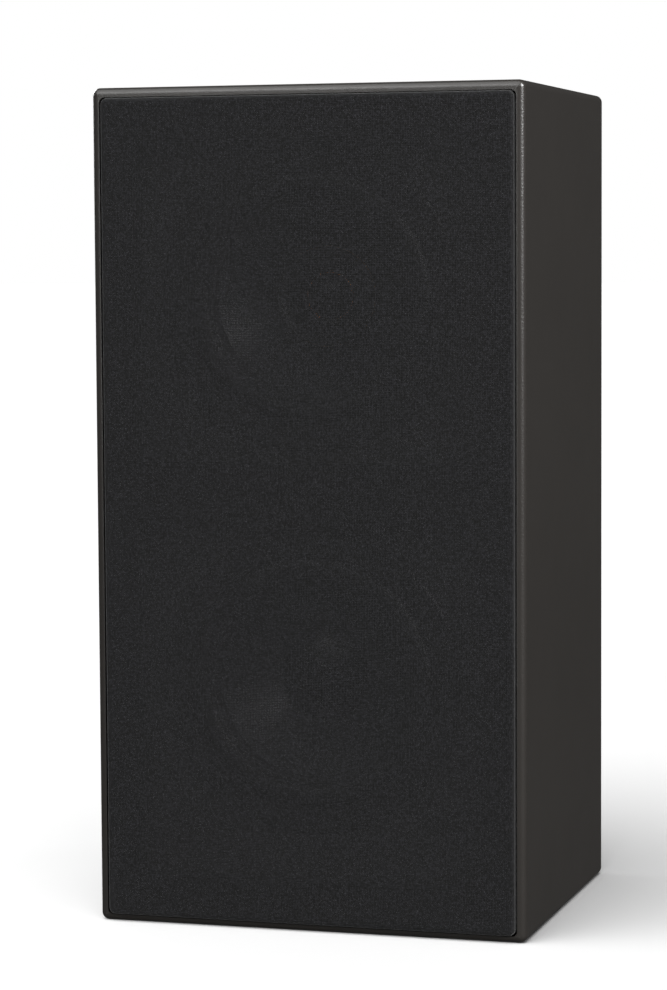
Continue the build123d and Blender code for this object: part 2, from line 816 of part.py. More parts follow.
def make_binding_posts():
    """Two threaded posts with 4 mm sockets, their washers, knurled caps and inner nuts."""
    collar_end = CUP_FLOOR + COLLAR_T
    washer_y = collar_end + NUT_FIT
    nut_y = washer_y + WASHER_T + NUT_FIT
    stud_end = nut_y + NUT_LENGTH + 0.2
    stud_start = CUP_BACK - STUD_TAIL
    hex_t = 3.2
    posts = ((-POST_X, "black"), (POST_X, "red"))

    with BuildPart() as studs:
        for x, _ in posts:
            with BuildSketch(upright(stud_start, x=x, z=CUP_Z)):
                Circle(STUD_R)
            extrude(amount=-(stud_end - stud_start))
            with BuildSketch(upright(CUP_FLOOR, x=x, z=CUP_Z)):
                Circle(5.0)
            extrude(amount=-COLLAR_T)
            with BuildSketch(upright(stud_end, x=x, z=CUP_Z)):
                Circle(BANANA_R)
            extrude(amount=BANANA_DEPTH, mode=Mode.SUBTRACT)
    save(studs, "post_studs")

    for x, colour in posts:
        with BuildPart() as washer:
            with BuildSketch(upright(washer_y, x=x, z=CUP_Z)):
                Circle(6.6)
                Circle(STUD_R + 0.1, mode=Mode.SUBTRACT)
            extrude(amount=-WASHER_T)
        save(washer, f"clamp_washer_{colour}")

        with BuildPart() as nut:
            with BuildSketch(upright(nut_y, x=x, z=CUP_Z)):
                Circle(NUT_R)
                with PolarLocations(NUT_R + 0.35, 18):
                    Circle(0.8, mode=Mode.SUBTRACT)
            extrude(amount=-(NUT_LENGTH - 3.0))
            with BuildSketch(upright(nut_y + NUT_LENGTH - 3.0, x=x, z=CUP_Z)):
                Circle(NUT_R - 0.8)
            extrude(amount=-3.0, taper=8)
            with BuildSketch(upright(nut_y, x=x, z=CUP_Z)):
                Circle(STUD_R + NUT_FIT)
            extrude(amount=-NUT_LENGTH, mode=Mode.SUBTRACT)
        save(nut, f"post_nut_{colour}")

    with BuildPart() as nuts:
        for x, _ in posts:
            with BuildSketch(upright(CUP_BACK, x=x, z=CUP_Z)):
                RegularPolygon(5.0, 6, major_radius=False)
                Circle(STUD_R, mode=Mode.SUBTRACT)
            extrude(amount=hex_t)
    save(nuts, "post_inner_nuts")


# ---------------------------------------------------------------- crossover


def board_corners():
    """The four screws of the crossover board, as (x, y)."""
    inset = 5.0
    half_x = BOARD_W / 2 - inset
    half_y = BOARD_L / 2 - inset
    return [(sx * half_x, BOARD_Y + sy * half_y) for sx in (-1, 1) for sy in (-1, 1)]


def make_crossover():
    with BuildPart() as board:
        with BuildSketch(Plane.XY.offset(BOARD_Z)):
            with Locations((0, BOARD_Y)):
                RectangleRounded(BOARD_W, BOARD_L, 3.0)
            with Locations(*board_corners()):
                Circle(1.6, mode=Mode.SUBTRACT)
        extrude(amount=BOARD_T)
    save(board, "crossover_board")

    with BuildPart() as spacers:
        with BuildSketch(Plane.XY.offset(WALL)):
            with Locations(*board_corners()):
                Circle(4.0)
                Circle(1.6, mode=Mode.SUBTRACT)
        extrude(amount=SPACER_H)
    save(spacers, "board_spacers")

    with BuildPart() as screws:
        with BuildSketch(Plane.XY.offset(BOARD_TOP)):
            with Locations(*board_corners()):
                Circle(3.0)
        extrude(amount=2.0)
        with BuildSketch(Plane.XY.offset(BOARD_TOP)):
            with Locations(*board_corners()):
                Circle(1.5)
        extrude(amount=-(BOARD_T + SPACER_H + 7.0))
    save(screws, "board_screws")

    core_x, core_y, core_side, core_length = -30.0, -5.0, 14.0, 46.0
    coil_bottom = BOARD_TOP + 1.0
    coil_r = 15.0
    core_z = coil_bottom + coil_r
    with BuildPart() as core:
        with Locations((core_x, core_y, core_z)):
            Box(core_side, core_length, core_side)
    save(core, "choke_core")

    with BuildPart() as windings:
        with BuildSketch(upright(core_y + 15.0, x=core_x, z=core_z)):
            Circle(coil_r)
            Rectangle(core_side + 0.4, core_side + 0.4, mode=Mode.SUBTRACT)
        extrude(amount=30.0)
        with BuildSketch(Plane.XY.offset(coil_bottom)):
            with Locations((30.0, 40.0)):
                Circle(19.0)
                Circle(8.0, mode=Mode.SUBTRACT)
        extrude(amount=12.0)
    save(windings, "choke_windings")

    lying = BOARD_TOP + 0.5
    cans = ((22.0, -6.0, 9.0, 34.0), (44.0, -6.0, 9.0, 34.0), (-30.0, 42.0, 8.0, 28.0))
    with BuildPart() as capacitors:
        for x, y, radius, length in cans:
            with BuildSketch(upright(y + length / 2, x=x, z=lying + radius)):
                Circle(radius)
            extrude(amount=length)
    save(capacitors, "crossover_capacitors")

    with BuildPart() as resistors:
        for x, y in ((0.0, -8.0), (0.0, 38.0)):
            with Locations((x, y, lying + 4.5)):
                Box(9.0, 24.0, 9.0)
    save(resistors, "crossover_resistors")


def wire_routes():
    """The leads from the binding posts to the board, and from the board to each driver."""
    post_y = CUP_BACK - STUD_TAIL - WIRE_R
    joint_z = BOARD_TOP + 0.4
    board_rear_y = 60.0
    tab_y = BAFFLE_FRONT + 42.0
    woofer_z, coax_z = WOOFER_Z - TAB_DROP, COAX_Z - TAB_DROP
    routes = []
    for side in (-1, 1):
        x, low_x = side * POST_X, side * 12.0
        routes.append(
            [
                (x, post_y, CUP_Z + 1.5),
                (x, post_y, 70.0),
                (low_x, board_rear_y, 46.0),
                (low_x, board_rear_y, joint_z),
            ]
        )
        x = side * TAB_X
        routes.append([(x, tab_y, woofer_z), (x, tab_y + 16.0, woofer_z - 2.0), (x, tab_y + 18.0, joint_z)])
        routes.append(
            [
                (x, tab_y, coax_z),
                (x, tab_y + 52.0, coax_z - 4.0),
                (x, tab_y + 56.0, 180.0),
                (x, tab_y + 64.0, joint_z),
            ]
        )
    return routes


def make_wiring():
    with BuildPart() as harness:
        for route in wire_routes():
            with BuildLine() as path:
                FilletPolyline(*route, radius=WIRE_BEND_R)
            with BuildSketch(Plane(origin=path.line @ 0, z_dir=path.line % 0)):
                Circle(WIRE_R)
            sweep(path=path.line)
    save(harness, "wiring_harness")


make_cabinet_walls()
make_front_baffle()
make_rear_panel()
make_window_brace()
make_wadding()
make_grille()
make_magnets("grille_magnets", FRAME_BACK)
make_magnets("baffle_magnets", BAFFLE_FRONT + MAGNET_T)
make_driver("woofer", WOOFER_Z, WOOFER_COIL_R, vent_r=6.0)
make_driver("coax", COAX_Z, COAX_COIL_R, vent_r=5.0)
make_dome("woofer_dust_cap", WOOFER_Z, DUST_CAP_R, DUST_CAP_SEAT_D, DUST_CAP_RISE, DUST_CAP_T)
make_driver_fixings()
make_tweeter()
make_port()
make_terminal_cup()
make_binding_posts()
make_crossover()
make_wiring()
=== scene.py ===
import logging
import math
from dataclasses import dataclass, replace
from enum import Enum
from typing import Any, ClassVar, Iterable

import bmesh
import bpy
from mathutils import Matrix, Vector, noise


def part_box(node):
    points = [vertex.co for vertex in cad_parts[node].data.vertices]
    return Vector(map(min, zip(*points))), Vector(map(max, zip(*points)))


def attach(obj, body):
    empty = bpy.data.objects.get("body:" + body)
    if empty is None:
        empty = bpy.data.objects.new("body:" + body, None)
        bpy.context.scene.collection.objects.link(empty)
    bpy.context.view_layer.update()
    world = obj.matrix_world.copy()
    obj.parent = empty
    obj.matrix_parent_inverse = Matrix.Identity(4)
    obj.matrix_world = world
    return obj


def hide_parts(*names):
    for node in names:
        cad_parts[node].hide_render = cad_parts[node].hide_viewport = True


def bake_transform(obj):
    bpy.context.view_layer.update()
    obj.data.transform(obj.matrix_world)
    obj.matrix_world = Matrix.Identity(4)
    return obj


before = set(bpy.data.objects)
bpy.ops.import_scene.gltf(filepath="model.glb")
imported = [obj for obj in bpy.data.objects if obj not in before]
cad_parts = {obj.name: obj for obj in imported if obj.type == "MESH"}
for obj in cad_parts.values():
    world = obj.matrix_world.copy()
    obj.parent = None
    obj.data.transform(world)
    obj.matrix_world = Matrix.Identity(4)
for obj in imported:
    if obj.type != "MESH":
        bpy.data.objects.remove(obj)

Tree = bpy.types.NodeTree
Mesh = bpy.types.Mesh
Material = bpy.types.Material
Object = bpy.types.Object

LOG = logging.getLogger("speaker")
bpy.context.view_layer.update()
MM = 0.001


# ---------------------------------------------------------------- node helpers


def linear(hex_code: str) -> tuple[float, float, float, float]:
    """Turns an sRGB hex colour into linear values.

    Args:
        hex_code: the colour, with its leading hash.

    Returns:
        Linear red, green and blue, with full alpha.
    """
    parts = [int(hex_code[i : i + 2], 16) / 255 for i in (1, 3, 5)]
    red, green, blue = [c / 12.92 if c <= 0.04045 else ((c + 0.055) / 1.055) ** 2.4 for c in parts]
    return (red, green, blue, 1.0)


def add_node(tree: Tree, kind: str, values: dict[Any, Any] | None = None, **settings: Any) -> Any:
    """Adds a node, sets its attributes, then sets or links its inputs.

    Args:
        tree: the node tree that takes the node.
        kind: the node's type name.
        values: for each input, by name or index, a constant or the socket to link from.
        settings: the node's own attributes.

    Returns:
        The new node.
    """
    node = tree.nodes.new(kind)
    for key, value in settings.items():
        setattr(node, key, value)
    for key, value in (values or {}).items():
        if isinstance(value, bpy.types.NodeSocket):
            tree.links.new(value, node.inputs[key])
        else:
            node.inputs[key].default_value = value
    return node


def noise_at(tree: Tree, spot: Any, size: float, detail: float = 2.0) -> Any:
    """Noise with patches of about size metres, as a socket from 0 to 1."""
    values = {"Vector": spot, "Scale": 1 / size, "Detail": detail, "Roughness": 0.6}
    return add_node(tree, "ShaderNodeTexNoise", values).outputs["Fac"]


def spread(tree: Tree, value: Any, low: float, high: float, to_low: float, to_high: float) -> Any:
    """Maps low..high to to_low..to_high, clamped."""
    values = {0: value, 1: low, 2: high, 3: to_low, 4: to_high}
    return add_node(tree, "ShaderNodeMapRange", values).outputs[0]


def calc(tree: Tree, operation: str, first: Any, second: Any = 0.0) -> Any:
    """One Math node, as a socket."""
    return add_node(tree, "ShaderNodeMath", {0: first, 1: second}, operation=operation).outputs[0]


# ---------------------------------------------------------------- finishes


@dataclass(frozen=True)
class Finish:
    """A surface with a faint colour mottle, fine relief and uneven gloss.

    Args:
        name: the material, and how it was made.
        colour: sRGB hex of the surface.
        shade: sRGB hex that the mottle drifts to.
        roughness: mean roughness.
        mottle: size of the mottle's patches, in metres.
        grain: size of the relief's grains, in metres.
        relief: height of the relief, in metres.
        metallic: 1 for bare metal.
        specular: specular level of a surface that isn't metal.
        uneven: how far the roughness drifts, as a share.
        coat: weight of a clear coat.
    """

    name: str
    colour: str
    shade: str
    roughness: float = 0.5
    mottle: float = 0.02
    grain: float = 0.0008
    relief: float = 0.00002
    metallic: float = 0.0
    specular: float = 0.5
    uneven: float = 0.12
    coat: float = 0.0

    def spot(self, tree: Tree) -> Any:
        """The place that the patterns read, in metres."""
        return add_node(tree, "ShaderNodeTexCoord").outputs["Object"]

    def blot(self, tree: Tree, spot: Any, band: tuple[float, float], other: str) -> Any:
        """Patches of another colour over the finish's own.

        Args:
            tree: the material's node tree.
            spot: where the pattern is read.
            band: the noise levels where the patches start and are full.
            other: sRGB hex of the patches.

        Returns:
            The mixed colour.
        """
        share = spread(tree, noise_at(tree, spot, self.mottle, 3.0), *band, 0.0, 1.0)
        values = {0: share, 6: linear(self.colour), 7: linear(other)}
        return add_node(tree, "ShaderNodeMix", values, data_type="RGBA").outputs[2]

    def tint(self, tree: Tree, spot: Any) -> Any:
        """The base colour, drifting between colour and shade."""
        return self.blot(tree, spot, (0.35, 0.65), self.shade)

    def height(self, tree: Tree, spot: Any) -> Any:
        """The relief, from 0 to 1."""
        return noise_at(tree, spot, self.grain, 2.0)

    def extras(self, tree: Tree, spot: Any) -> dict[str, Any]:
        """Further inputs of the shader."""
        return {}

    def build(self) -> Material:
        """Makes the Blender material.

        Returns:
            The material, with its nodes linked.
        """
        material = bpy.data.materials.new(self.name)
        material.use_nodes = True
        tree = material.node_tree
        tree.nodes.clear()
        spot = self.spot(tree)
        gloss = noise_at(tree, spot, self.mottle * 0.6)
        low, high = self.roughness * (1 - self.uneven), min(1.0, self.roughness * (1 + self.uneven))
        values = {
            "Base Color": self.tint(tree, spot),
            "Roughness": spread(tree, gloss, 0.3, 0.7, low, high),
            "Metallic": self.metallic,
            "Coat Weight": self.coat,
        }
        if self.metallic == 0.0:
            values["Specular IOR Level"] = self.specular
        if self.relief > 0:
            bump = {"Height": self.height(tree, spot), "Distance": self.relief}
            values["Normal"] = add_node(tree, "ShaderNodeBump", bump).outputs[0]
        values.update(self.extras(tree, spot))
        shader = add_node(tree, "ShaderNodeBsdfPrincipled", values)
        add_node(tree, "ShaderNodeOutputMaterial", {"Surface": shader.outputs[0]})
        return material


@dataclass(frozen=True)
class TexturedWrap(Finish):
    """Vinyl pressed with a leathery grain: closed cells with soft valleys and a sparse sparkle."""

    def height(self, tree: Tree, spot: Any) -> Any:
        """Cells of the pressed grain over a finer noise.

        Args:
            tree: the material's node tree.
            spot: where the pattern is read.

        Returns:
            The relief of the grain.
        """
        cells = add_node(tree, "ShaderNodeTexVoronoi", {"Vector": spot, "Scale": 1 / self.grain})
        valleys = spread(tree, cells.outputs["Distance"], 0.1, 0.8, 1.0, 0.0)
        fine = noise_at(tree, spot, self.grain * 0.35)
        return calc(tree, "ADD", valleys, calc(tree, "MULTIPLY", fine, 0.5))


@dataclass(frozen=True)
class TurnedMetal(Finish):
    """Metal with fine tool rings round an axis along Y, which stretch the highlights.

    Args:
        centre_z: height of the axis, in metres.
    """

    centre_z: float = 0.0

    def height(self, tree: Tree, spot: Any) -> Any:
        """Rings at uneven spacing round the axis.

        Args:
            tree: the material's node tree.
            spot: where the pattern is read.

        Returns:
            The relief, from 0 to 1.
        """
        parts = add_node(tree, "ShaderNodeSeparateXYZ", {0: spot}).outputs
        rise = calc(tree, "SUBTRACT", parts["Z"], self.centre_z)
        square = calc(tree, "ADD", calc(tree, "POWER", parts["X"], 2.0), calc(tree, "POWER", rise, 2.0))
        radius = calc(tree, "SQRT", square)
        line = add_node(tree, "ShaderNodeCombineXYZ", {0: radius, 1: parts["Y"]}).outputs[0]
        return noise_at(tree, line, self.grain)


@dataclass(frozen=True)
class WoundWire(Finish):
    """Enamelled wire laid turn beside turn: round ridges at the wire's pitch along each winding."""

    def height(self, tree: Tree, spot: Any) -> Any:
        """Rounded ridges along Y and Z at the wire's pitch.

        Args:
            tree: the material's node tree.
            spot: where the pattern is read.

        Returns:
            The relief, from 0 to 1.
        """
        parts = add_node(tree, "ShaderNodeSeparateXYZ", {0: spot}).outputs
        along = calc(tree, "ADD", parts["Y"], parts["Z"])
        phase = calc(tree, "MULTIPLY", along, math.pi / self.grain)
        return calc(tree, "ABSOLUTE", calc(tree, "SINE", phase))


@dataclass(frozen=True)
class WovenCloth(Finish):
    """Open woven polyester: crossing threads with small holes that let a little light through.

    Args:
        pitch: distance from thread to thread, in metres, drawn at twice the real one so that it shows.
        hole: how far from a crossing gap the hole reaches, as a share.
        veil: opacity in the middle of a hole.
        fleck: sRGB hex of the lighter flecks.
    """

    pitch: float = 0.0009
    hole: float = 0.66
    veil: float = 0.2
    fleck: str = "#1f1f21"

    def spot(self, tree: Tree) -> Any:
        """The flat cloth's own place, a little uneven as threads are.

        Args:
            tree: the material's node tree.

        Returns:
            The place on the flat cloth, in metres.
        """
        flat = add_node(tree, "ShaderNodeUVMap", uv_map="Weave").outputs[0]
        drift = add_node(tree, "ShaderNodeTexNoise", {"Vector": flat, "Scale": 1 / 0.004}).outputs["Color"]
        scaled = {0: drift, "Scale": 0.0006}
        shift = add_node(tree, "ShaderNodeVectorMath", scaled, operation="SCALE").outputs[0]
        return add_node(tree, "ShaderNodeVectorMath", {0: flat, 1: shift}, operation="ADD").outputs[0]

    def threads(self, tree: Tree, spot: Any) -> tuple[Any, Any]:
        """How near a point is to the middle of its threads.

        Args:
            tree: the material's node tree.
            spot: where the pattern is read.

        Returns:
            A share from 0 to 1 for the warp, and one for the weft.
        """
        parts = add_node(tree, "ShaderNodeSeparateXYZ", {0: spot}).outputs
        found = []
        for axis in ("X", "Y"):
            phase = calc(tree, "MULTIPLY", parts[axis], math.pi / self.pitch)
            found.append(calc(tree, "ABSOLUTE", calc(tree, "SINE", phase)))
        return found[0], found[1]

    def tint(self, tree: Tree, spot: Any) -> Any:
        """Near-black yarn with slightly bluish flecks a little wider than a thread."""
        return self.blot(tree, spot, (0.42, 0.72), self.fleck)

    def height(self, tree: Tree, spot: Any) -> Any:
        """Threads over and under each other."""
        warp, weft = self.threads(tree, spot)
        return calc(tree, "MAXIMUM", warp, calc(tree, "MULTIPLY", weft, 0.85))

    def extras(self, tree: Tree, spot: Any) -> dict[str, Any]:
        """Holes between the threads, and the yarn's soft sheen.

        Args:
            tree: the material's node tree.
            spot: where the pattern is read.

        Returns:
            The opacity and the sheen, by input.
        """
        warp, weft = self.threads(tree, spot)
        cover = calc(tree, "MAXIMUM", warp, weft)
        opacity = spread(tree, cover, self.hole - 0.25, self.hole + 0.1, self.veil, 1.0)
        return {"Alpha": opacity, "Sheen Weight": 0.2, "Sheen Roughness": 0.4}


@dataclass(frozen=True)
class FibreMat(Finish):
    """Matted fibres: long streaks that cross, as in resin-dipped cotton or polyester wadding."""

    def height(self, tree: Tree, spot: Any) -> Any:
        """Two families of stretched noise laid across each other.

        Args:
            tree: the material's node tree.
            spot: where the pattern is read.

        Returns:
            The relief, from 0 to 1.
        """
        layers = []
        for stretch in ((6.0, 1.0, 1.0), (1.0, 1.0, 6.0)):
            values = {0: spot, 1: stretch}
            scaled = add_node(tree, "ShaderNodeVectorMath", values, operation="DIVIDE").outputs[0]
            layers.append(noise_at(tree, scaled, self.grain, 3.0))
        return calc(tree, "MAXIMUM", layers[0], layers[1])


class Slot(Enum):
    """The record's material slots."""

    CABINET = "cabinet"
    RAW_BOARD = "raw_board"
    BAFFLE = "baffle_black"
    CLOTH = "grille_cloth"
    PLASTIC = "black_plastic"
    BASKET = "basket_paint"
    RUBBER = "butyl_rubber"
    CONE = "woofer_cone"
    CAP = "dust_cap"
    COPPER = "copper"
    FORMER = "former_film"
    SPIDER = "spider_cloth"
    ZINC = "zinc_steel"
    FERRITE = "ferrite"
    SCREW = "black_screw"
    TIN = "tin_terminal"
    SILK = "dome_silk"
    NEODYMIUM = "neodymium"
    FOAM = "foam_gasket"
    GOLD = "gold_post"
    RED = "red_cap"
    BLACK = "black_cap"
    LAMINATE = "board_laminate"
    FILM = "capacitor_film"
    CEMENT = "resistor_cement"
    WADDING = "wadding"
    SHEATH = "wire_sheath"
    NYLON = "nylon"


FINISHES: dict[Slot, Finish] = {
    # Satin dark grey skin: soft broad highlights on the rounded edges and a leathery sparkle on top.
    Slot.CABINET: TexturedWrap(
        "Vinyl wrap, pressed leather grain",
        "#211f1d",
        "#201e1c",
        roughness=0.32,
        mottle=0.05,
        grain=0.0009,
        relief=0.00005,
        specular=0.45,
        uneven=0.03,
    ),
    # Brown-grey compressed fibre that shows on the inside faces only.
    Slot.RAW_BOARD: FibreMat("Fibreboard, sanded", "#7d6650", "#6b5643", 0.85, 0.01, 0.0006, 0.00004),
    # Flat black paint over board, which keeps the space behind the cloth dark.
    Slot.BAFFLE: Finish("Fibreboard, sprayed matt black", "#303030", "#2c2c2c", 0.72, 0.03, 0.0007, 0.00003),
    # Open black weave: a dry dark surface with bluish flecks, and drivers faintly seen through it.
    Slot.CLOTH: WovenCloth(
        "Polyester grille cloth, woven", "#101010", "#101010", 0.95, 0.0012, 0.0009, 0.00012, specular=0.06
    ),
    # Fine spark-eroded mould texture with a dull sheen.
    Slot.PLASTIC: Finish("ABS, moulded with fine texture", "#161616", "#1a1a1a", 0.48, 0.03, 0.0005, 0.00002),
    # Powder coat: slight orange peel over die-cast ribs.
    Slot.BASKET: Finish(
        "Aluminium, die-cast and powder coated", "#1c1c1d", "#19191a", 0.42, 0.02, 0.0015, 0.00004
    ),
    # Smooth rubber roll with a soft, broad highlight and a faint bloom.
    Slot.RUBBER: Finish("Butyl rubber, moulded", "#141414", "#1c1c1c", 0.5, 0.012, 0.0006, 0.00001),
    # Mineral specks in grey-black plastic, glossy enough for a streak of light.
    Slot.CONE: Finish(
        "Polypropylene, mineral filled, formed", "#1d1e20", "#26282b", 0.45, 0.0018, 0.0012, 0.00002
    ),
    # Smoother and shinier than the cone, so that it catches one round highlight.
    Slot.CAP: Finish("Polypropylene, moulded satin", "#17181a", "#1b1c1e", 0.2, 0.02, 0.001, 0.000005),
    # Clear enamel over copper, wound turn by turn.
    Slot.COPPER: WoundWire(
        "Copper wire, enamelled and wound", "#c9793f", "#b0632f", 0.3, 0.004, 0.0008, 0.0002, 1.0
    ),
    # Amber film with a waxy gloss.
    Slot.FORMER: Finish("Polyimide film, rolled", "#a5722a", "#95641f", 0.35, 0.01, 0.002, 0.000005),
    # Yellow-brown weave stiffened with resin.
    Slot.SPIDER: FibreMat(
        "Cotton, resin dipped and pressed", "#b28a3c", "#9d7730", 0.75, 0.008, 0.0006, 0.00008
    ),
    # Plated steel with fine turning rings.
    Slot.ZINC: TurnedMetal(
        "Steel, turned and zinc plated", "#b9bcc2", "#a9adb5", 0.32, 0.01, 0.0004, 0.00001, 1.0
    ),
    # Sintered dark ring, dull and faintly gritty.
    Slot.FERRITE: Finish(
        "Ferrite, sintered", "#3b3b3f", "#333337", 0.62, 0.006, 0.0005, 0.00003, specular=0.7
    ),
    # Black oxide: dark metal with a slight oily gloss.
    Slot.SCREW: Finish(
        "Steel, black oxide", "#191919", "#202020", 0.34, 0.002, 0.0003, 0.000005, specular=0.8
    ),
    # Tinned tabs with a soft grey shine.
    Slot.TIN: Finish("Brass, tin plated", "#b5b4ae", "#a6a59f", 0.38, 0.003, 0.0006, 0.00001, 1.0),
    # Coated fabric dome, almost smooth, with a small soft highlight.
    Slot.SILK: FibreMat("Silk, doped and formed", "#18181b", "#1e1e22", 0.22, 0.004, 0.0004, 0.00001),
    # Nickel plate with a bright cold reflection.
    Slot.NEODYMIUM: Finish(
        "Neodymium, nickel plated", "#b8b8b6", "#adadab", 0.2, 0.004, 0.001, 0.000003, 1.0
    ),
    # Dull closed cells.
    Slot.FOAM: Finish("Foam tape, closed cell", "#1f1f1f", "#262626", 0.9, 0.002, 0.0005, 0.00008),
    # Thin gold plate over brass with a warm shine.
    Slot.GOLD: Finish(
        "Brass, turned and gold plated", "#d9b25f", "#cfa552", 0.22, 0.003, 0.0006, 0.000005, 1.0
    ),
    # Clear red moulding under light gloss.
    Slot.RED: Finish(
        "Polycarbonate, moulded red", "#a3100f", "#920c0c", 0.25, 0.006, 0.001, 0.000005, coat=0.4
    ),
    # The same moulding in black.
    Slot.BLACK: Finish(
        "Polycarbonate, moulded black", "#121212", "#161616", 0.25, 0.006, 0.001, 0.000005, coat=0.4
    ),
    # Green board with a faint glass weave below its varnish.
    Slot.LAMINATE: Finish(
        "Glass epoxy board, varnished", "#2f4f2c", "#2a4727", 0.35, 0.01, 0.0008, 0.00001, coat=0.3
    ),
    # Yellow film wrap, slightly wrinkled.
    Slot.FILM: Finish("Film capacitor, tape wrapped", "#d7b23a", "#cba52f", 0.4, 0.006, 0.002, 0.00003),
    # Chalky cast cement.
    Slot.CEMENT: Finish("Cement resistor, cast", "#c9c6bd", "#bdbab0", 0.85, 0.003, 0.0006, 0.00004),
    # Loose off-white fibre.
    Slot.WADDING: FibreMat("Polyester wadding, carded", "#dcdad4", "#cfcdc6", 0.95, 0.012, 0.0008, 0.0003),
    # Smooth red and brown lead insulation.
    Slot.SHEATH: Finish("PVC lead sheath, extruded", "#7d1512", "#6f110f", 0.4, 0.01, 0.002, 0.00001),
    # Milky plastic spacers.
    Slot.NYLON: Finish("Nylon, turned natural", "#d8d5ca", "#cfccc0", 0.5, 0.004, 0.0006, 0.00001),
}


class Paint:
    """Builds each finish once and gives it to pieces."""

    def __init__(self) -> None:
        """Starts with no material made."""
        self.made: dict[Finish, Material] = {}

    def material(self, finish: Finish) -> Material:
        """Finds or builds the Blender material of a finish.

        Args:
            finish: the finish.

        Returns:
            Its material.
        """
        if finish not in self.made:
            self.made[finish] = finish.build()
        return self.made[finish]

    def nodes(self, finish: Finish, *names: str) -> int:
        """Gives CAD nodes a finish.

        Args:
            finish: the finish.
            names: the nodes' names.

        Returns:
            How many nodes took it.
        """
        material = self.material(finish)
        for name in names:
            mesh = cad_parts[name].data
            mesh.materials.clear()
            mesh.materials.append(material)
        return len(names)

    def dress(self, wear: dict[Slot, tuple[str, ...]]) -> int:
        """Gives each slot's finish to its CAD nodes; returns how many nodes."""
        return sum(self.nodes(FINISHES[slot], *names) for slot, names in wear.items())

    def piece(self, name: str, mesh: Mesh, slot: Slot) -> Object:
        """Links a new object at the origin with a slot's finish.

        Args:
            name: the object's name.
            mesh: its mesh.
            slot: its slot.

        Returns:
            The object.
        """
        mesh.materials.clear()
        mesh.materials.append(self.material(FINISHES[slot]))
        made = linked(name, mesh)
        return made


# ---------------------------------------------------------------- mesh helpers


def linked(name: str, data: Any) -> Object:
    """Links a new object to the scene."""
    made = bpy.data.objects.new(name, data)
    bpy.context.scene.collection.objects.link(made)
    return made


def mesh_from(name: str, points: Iterable[Vector], faces: Iterable[tuple[int, ...]]) -> Mesh:
    """A smooth-shaded mesh.

    Args:
        name: the mesh's name.
        points: its points, in metres.
        faces: the points of each face, by index.

    Returns:
        The mesh.
    """
    mesh = bpy.data.meshes.new(name)
    mesh.from_pydata([tuple(p) for p in points], [], list(faces))
    mesh.validate()
    mesh.shade_smooth()
    return mesh


def turned(name: str, line: list[tuple[float, float]], centre_z: float, steps: int = 144) -> Mesh:
    """Turns a line round a driver's axis, facing the front when it runs inwards.

    Args:
        name: the mesh's name.
        line: points as (radius, y), in metres.
        centre_z: height of the axis.
        steps: points in each ring.

    Returns:
        The surface, one quad deep.
    """
    points = [
        Vector((r * math.cos(math.tau * k / steps), y, centre_z + r * math.sin(math.tau * k / steps)))
        for r, y in line
        for k in range(steps)
    ]
    faces = []
    for row in range(len(line) - 1):
        first, second = row * steps, (row + 1) * steps
        for k in range(steps):
            after = (k + 1) % steps
            faces.append((first + k, first + after, second + after, second + k))
    return mesh_from(name, points, faces)


def rounded_outline(
    half_w: float, half_h: float, radius: float, arc: int, side: int
) -> list[tuple[Vector, Vector]]:
    """A rounded rectangle round the origin, counter-clockwise.

    Args:
        half_w: half its width.
        half_h: half its height.
        radius: radius of its corners.
        arc: steps in each corner.
        side: steps on each side.

    Returns:
        Each point with its outward normal, in the plane.
    """
    found = []
    centres = ((half_w - radius, half_h - radius), (radius - half_w, half_h - radius))
    centres += ((radius - half_w, radius - half_h), (half_w - radius, radius - half_h))
    for corner, (cx, cy) in enumerate(centres):
        for k in range(arc + 1):
            angle = math.pi / 2 * (corner + k / arc)
            normal = Vector((math.cos(angle), math.sin(angle)))
            found.append((Vector((cx, cy)) + normal * radius, normal))
        end = found[-1][0]
        nx, ny = centres[(corner + 1) % 4]
        start = Vector((nx, ny)) + found[-1][1] * radius
        found += [(end.lerp(start, k / side), found[-1][1]) for k in range(1, side)]
    return found


# ---------------------------------------------------------------- studio


@dataclass(frozen=True)
class Lamp:
    """A soft rectangular light aimed at a point.

    Args:
        name: the light's name.
        place: where it stands, in metres.
        aim: the point that it faces, in metres.
        size: width and height of its face, in metres.
        power: in watts.
    """

    name: str
    place: tuple[float, float, float]
    aim: tuple[float, float, float]
    size: tuple[float, float]
    power: float


LAMPS = (
    Lamp("rim_right", (1.75, -0.86, 1.25), (0.12, -0.1, 0.42), (0.45, 1.0), 98.0),
    Lamp("front_left", (-0.5, -1.4, 1.45), (0.0, -0.1, 0.4), (0.6, 0.6), 7.0),
    Lamp("small_front", (-0.57, -1.95, 0.44), (0.0, -0.07, 0.25), (0.06, 0.06), 3.0),
    Lamp("rear_left", (-1.6, 1.4, 1.1), (0.0, 0.1, 0.25), (0.9, 0.9), 40.0),
)


